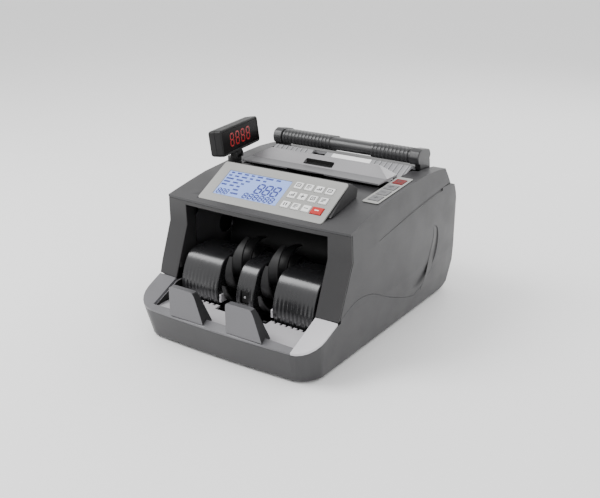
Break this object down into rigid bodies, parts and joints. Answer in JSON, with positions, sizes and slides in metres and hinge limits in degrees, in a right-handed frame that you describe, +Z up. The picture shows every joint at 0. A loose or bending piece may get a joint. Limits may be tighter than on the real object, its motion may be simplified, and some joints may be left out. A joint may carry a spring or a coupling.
{
  "type": "banknote counting machine",
  "caption": "Desktop banknote counter with a top feed hopper, front stacker, sloping keypad console, customer display and folding handle.",
  "frame": {"origin": "on the table, under the middle of the machine's width and length", "axes": "+X to the machine's right seen from the front, front faces -Y, +Z up"},
  "size_m": [0.25, 0.3458, 0.2196],
  "materials": {
    "body_grey": "satin metallic-grey moulding",
    "bezel_grey": "satin dark grey moulding",
    "silver_plastic": "satin silver moulding",
    "console_grey": "satin light grey faceplate",
    "ramp_grey": "satin light grey moulding",
    "black_plastic": "satin black moulding",
    "smoke_plastic": "glossy dark grey moulding",
    "black_rubber": "matte rubber",
    "steel": "zinc-plated sheet and bar",
    "lcd_panel": "lit liquid crystal panel",
    "red_window": "dark red filter window",
    "key_white": "matte white cap",
    "key_grey": "matte grey cap",
    "key_red": "matte red cap",
    "board_green": "coated circuit board",
    "core_iron": "varnished laminations"
  },
  "bodies": {
    "case": {"lower_case": "body_grey", "upper_housing": "body_grey", "front_bezel": "bezel_grey", "rear_panel": "bezel_grey", "stacker_tray": "silver_plastic", "stacker_guide": "smoke_plastic", "note_guide_plate": "black_plastic", "note_stop_left": "silver_plastic", "note_stop_right": "silver_plastic", "hopper_ramp": "ramp_grey", "foot_front_left": "black_rubber", "foot_front_right": "black_rubber", "foot_rear_left": "black_rubber", "foot_rear_right": "black_rubber", "console_housing": "bezel_grey", "console_faceplate": "console_grey", "lcd_window": "lcd_panel", "side_key_plate": "console_grey", "display_mount": "black_plastic", "mains_inlet": "black_plastic", "side_frame_right": "steel", "side_frame_left": "steel", "stacker_motor": "steel", "stacker_belt": "black_rubber", "feed_motor": "steel", "feed_belt": "black_rubber", "main_board": "board_green", "transformer": "core_iron"},
    "feed_cover": {"feed_cover": "silver_plastic"},
    "carry_handle": {"carry_handle": "body_grey"},
    "display_neck": {"display_neck": "black_plastic"},
    "display_head": {"display_case": "black_plastic", "display_window": "red_window"},
    "power_rocker": {"power_rocker": "black_plastic"},
    "impellers": {"impeller_shaft": "steel", "impeller_left": "black_rubber", "impeller_right": "black_rubber"},
    "stacker_motor_pulley": {"stacker_motor_pulley": "black_plastic"},
    "feed_rollers": {"feed_shaft": "steel", "feed_roller_left": "black_rubber", "feed_roller_right": "black_rubber"},
    "pickup_roller": {"pickup_roller": "black_rubber"},
    "friction_roller": {"friction_roller": "black_rubber"},
    "feed_motor_pulley": {"feed_motor_pulley": "black_plastic"},
    "key_1a": {"key_1a": "key_white"},
    "key_1b": {"key_1b": "key_white"},
    "key_1c": {"key_1c": "key_white"},
    "key_1d": {"key_1d": "key_white"},
    "key_2a": {"key_2a": "key_white"},
    "key_2b": {"key_2b": "key_white"},
    "key_2c": {"key_2c": "key_white"},
    "key_2d": {"key_2d": "key_white"},
    "key_3a": {"key_3a": "key_white"},
    "key_3b": {"key_3b": "key_white"},
    "key_3c": {"key_3c": "key_white"},
    "key_3d": {"key_3d": "key_red"},
    "side_key_1": {"side_key_1": "key_grey"},
    "side_key_2": {"side_key_2": "key_grey"},
    "side_key_3": {"side_key_3": "key_grey"},
    "side_key_4": {"side_key_4": "key_red"}
  },
  "joints": [
    {"name": "impeller_spin", "type": "hinge", "parent": "case", "child": "impellers", "pos_m": [0, -0.07386, 0.062], "axis": [1, 0, 0], "continuous": true},
    {"name": "stacker_motor_spin", "type": "hinge", "parent": "case", "child": "stacker_motor_pulley", "pos_m": [-0.1, 0.00414, 0.034], "axis": [1, 0, 0], "continuous": true},
    {"name": "feed_spin", "type": "hinge", "parent": "case", "child": "feed_rollers", "pos_m": [0, 0.03814, 0.136], "axis": [1, 0, 0], "continuous": true},
    {"name": "pickup_spin", "type": "hinge", "parent": "case", "child": "pickup_roller", "pos_m": [0, 0.07214, 0.1615], "axis": [1, 0, 0], "continuous": true},
    {"name": "feed_motor_spin", "type": "hinge", "parent": "case", "child": "feed_motor_pulley", "pos_m": [-0.1, 0.09414, 0.052], "axis": [1, 0, 0], "continuous": true},
    {"name": "friction_spin", "type": "hinge", "parent": "case", "child": "friction_roller", "pos_m": [0, 0.03714, 0.1636], "axis": [1, 0, 0], "continuous": true},
    {"name": "feed_cover_hinge", "type": "hinge", "parent": "case", "child": "feed_cover", "pos_m": [0, 0.04714, 0.165], "axis": [-1, 0, 0], "range_deg": [0, 45]},
    {"name": "handle_fold", "type": "hinge", "parent": "case", "child": "carry_handle", "pos_m": [0, 0.11014, 0.159], "axis": [-1, 0, 0], "range_deg": [0, 28]},
    {"name": "display_swivel", "type": "hinge", "parent": "case", "child": "display_neck", "pos_m": [-0.107, 0.00524, 0.1722], "axis": [0, 0, 1], "range_deg": [-35, 40]},
    {"name": "display_tilt", "type": "hinge", "parent": "display_neck", "child": "display_head", "pos_m": [-0.10365, 0.00581, 0.1817], "axis": [-0.1685, 0.9857, 0], "range_deg": [-20, 10]},
    {"name": "power_switch", "type": "hinge", "parent": "case", "child": "power_rocker", "pos_m": [0.0195, 0.16814, 0.048], "axis": [1, 0, 0], "range_deg": [0, 16]},
    {"name": "key_1a_press", "type": "slide", "parent": "case", "child": "key_1a", "axis": [0, 0.4839, -0.8751], "range_m": [0, 0.0005], "stiffness_N_per_m": 800},
    {"name": "key_1b_press", "type": "slide", "parent": "case", "child": "key_1b", "axis": [0, 0.4839, -0.8751], "range_m": [0, 0.0005], "stiffness_N_per_m": 800},
    {"name": "key_1c_press", "type": "slide", "parent": "case", "child": "key_1c", "axis": [0, 0.4839, -0.8751], "range_m": [0, 0.0005], "stiffness_N_per_m": 800},
    {"name": "key_1d_press", "type": "slide", "parent": "case", "child": "key_1d", "axis": [0, 0.4839, -0.8751], "range_m": [0, 0.0005], "stiffness_N_per_m": 800},
    {"name": "key_2a_press", "type": "slide", "parent": "case", "child": "key_2a", "axis": [0, 0.4839, -0.8751], "range_m": [0, 0.0005], "stiffness_N_per_m": 800},
    {"name": "key_2b_press", "type": "slide", "parent": "case", "child": "key_2b", "axis": [0, 0.4839, -0.8751], "range_m": [0, 0.0005], "stiffness_N_per_m": 800},
    {"name": "key_2c_press", "type": "slide", "parent": "case", "child": "key_2c", "axis": [0, 0.4839, -0.8751], "range_m": [0, 0.0005], "stiffness_N_per_m": 800},
    {"name": "key_2d_press", "type": "slide", "parent": "case", "child": "key_2d", "axis": [0, 0.4839, -0.8751], "range_m": [0, 0.0005], "stiffness_N_per_m": 800},
    {"name": "key_3a_press", "type": "slide", "parent": "case", "child": "key_3a", "axis": [0, 0.4839, -0.8751], "range_m": [0, 0.0005], "stiffness_N_per_m": 800},
    {"name": "key_3b_press", "type": "slide", "parent": "case", "child": "key_3b", "axis": [0, 0.4839, -0.8751], "range_m": [0, 0.0005], "stiffness_N_per_m": 800},
    {"name": "key_3c_press", "type": "slide", "parent": "case", "child": "key_3c", "axis": [0, 0.4839, -0.8751], "range_m": [0, 0.0005], "stiffness_N_per_m": 800},
    {"name": "key_3d_press", "type": "slide", "parent": "case", "child": "key_3d", "axis": [0, 0.4839, -0.8751], "range_m": [0, 0.0005], "stiffness_N_per_m": 800},
    {"name": "side_key_1_press", "type": "slide", "parent": "case", "child": "side_key_1", "axis": [0, 0.0914, -0.9958], "range_m": [0, 0.0006], "stiffness_N_per_m": 800},
    {"name": "side_key_2_press", "type": "slide", "parent": "case", "child": "side_key_2", "axis": [0, 0.0914, -0.9958], "range_m": [0, 0.0006], "stiffness_N_per_m": 800},
    {"name": "side_key_3_press", "type": "slide", "parent": "case", "child": "side_key_3", "axis": [0, 0.0914, -0.9958], "range_m": [0, 0.0006], "stiffness_N_per_m": 800},
    {"name": "side_key_4_press", "type": "slide", "parent": "case", "child": "side_key_4", "axis": [0, 0.0914, -0.9958], "range_m": [0, 0.0006], "stiffness_N_per_m": 800}
  ],
  "couplings": [
    {"joint": "stacker_motor_spin", "follows": "impeller_spin", "ratio": 2.2857},
    {"joint": "pickup_spin", "follows": "feed_spin", "ratio": 2.4615},
    {"joint": "feed_motor_spin", "follows": "feed_spin", "ratio": 2.2857}
  ]
}
